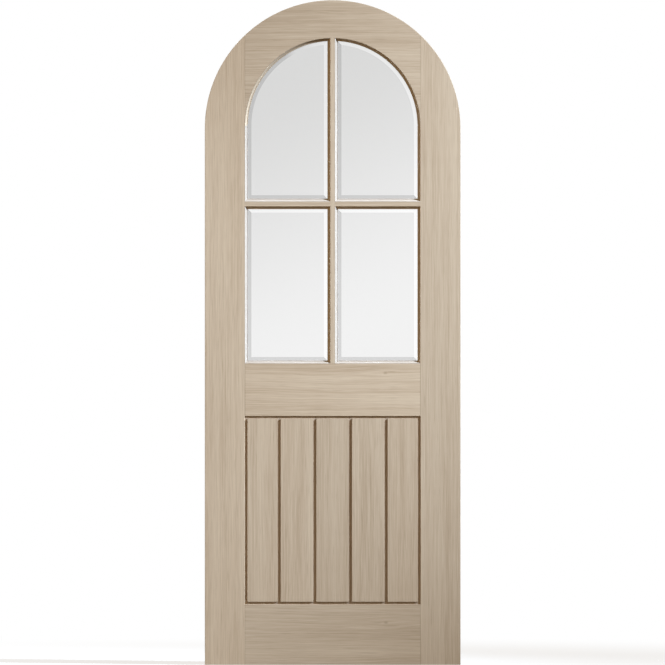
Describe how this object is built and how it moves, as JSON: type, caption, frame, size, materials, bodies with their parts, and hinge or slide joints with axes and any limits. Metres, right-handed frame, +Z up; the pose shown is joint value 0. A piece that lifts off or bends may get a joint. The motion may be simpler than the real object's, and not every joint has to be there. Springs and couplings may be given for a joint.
{
  "type": "arched wooden door",
  "caption": "Internal oak door leaf with a semicircular head, bevelled panes between crossed glazing bars above, and a flush panel of tongued boards with channels below.",
  "frame": {"origin": "middle of the leaf's bottom edge, at mid thickness", "axes": "+Z up the leaf, +X to the right seen from the front, the front face looks to -Y"},
  "size_m": [0.762, 0.035, 1.981],
  "materials": {
    "oak_stile": "satin",
    "oak_rail": "satin",
    "oak_bar": "satin",
    "oak_board": "satin",
    "oak_bead": "satin",
    "glass": "clear, polished bevel",
    "glazing_mastic": "matt",
    "packer": "matt",
    "beech_tenon": "plain",
    "brad": "bright"
  },
  "bodies": {
    "root": {"back_bead_bottom_left_bar": "oak_bead", "back_bead_bottom_left_head": "oak_bead", "back_bead_bottom_left_jamb": "oak_bead", "back_bead_bottom_left_sill": "oak_bead", "back_bead_bottom_right_bar": "oak_bead", "back_bead_bottom_right_head": "oak_bead", "back_bead_bottom_right_jamb": "oak_bead", "back_bead_bottom_right_sill": "oak_bead", "back_bead_top_left_arch": "oak_bead", "back_bead_top_left_bar": "oak_bead", "back_bead_top_left_jamb": "oak_bead", "back_bead_top_left_sill": "oak_bead", "back_bead_top_right_arch": "oak_bead", "back_bead_top_right_bar": "oak_bead", "back_bead_top_right_jamb": "oak_bead", "back_bead_top_right_sill": "oak_bead", "bead_brads": "brad", "bottom_rail": "oak_rail", "bottom_rail_slip_tenon_left": "beech_tenon", "bottom_rail_slip_tenon_right": "beech_tenon", "cross_bar": "oak_bar", "front_bead_bottom_left_bar": "oak_bead", "front_bead_bottom_left_head": "oak_bead", "front_bead_bottom_left_jamb": "oak_bead", "front_bead_bottom_left_sill": "oak_bead", "front_bead_bottom_right_bar": "oak_bead", "front_bead_bottom_right_head": "oak_bead", "front_bead_bottom_right_jamb": "oak_bead", "front_bead_bottom_right_sill": "oak_bead", "front_bead_top_left_arch": "oak_bead", "front_bead_top_left_bar": "oak_bead", "front_bead_top_left_jamb": "oak_bead", "front_bead_top_left_sill": "oak_bead", "front_bead_top_right_arch": "oak_bead", "front_bead_top_right_bar": "oak_bead", "front_bead_top_right_jamb": "oak_bead", "front_bead_top_right_sill": "oak_bead", "glass_bottom_left": "glass", "glass_bottom_right": "glass", "glass_top_left": "glass", "glass_top_right": "glass", "glazing_bed_bottom_left": "glazing_mastic", "glazing_bed_bottom_right": "glazing_mastic", "glazing_bed_top_left": "glazing_mastic", "glazing_bed_top_right": "glazing_mastic", "glazing_packers": "packer", "head_rail": "oak_rail", "head_rail_slip_tenon_left": "beech_tenon", "head_rail_slip_tenon_right": "beech_tenon", "left_stile": "oak_stile", "mid_rail": "oak_rail", "mid_rail_slip_tenon_left": "beech_tenon", "mid_rail_slip_tenon_right": "beech_tenon", "panel_board_1": "oak_board", "panel_board_2": "oak_board", "panel_board_3": "oak_board", "panel_board_4": "oak_board", "panel_board_5": "oak_board", "right_stile": "oak_stile", "upright_bar": "oak_bar"}
  },
  "joints": []
}
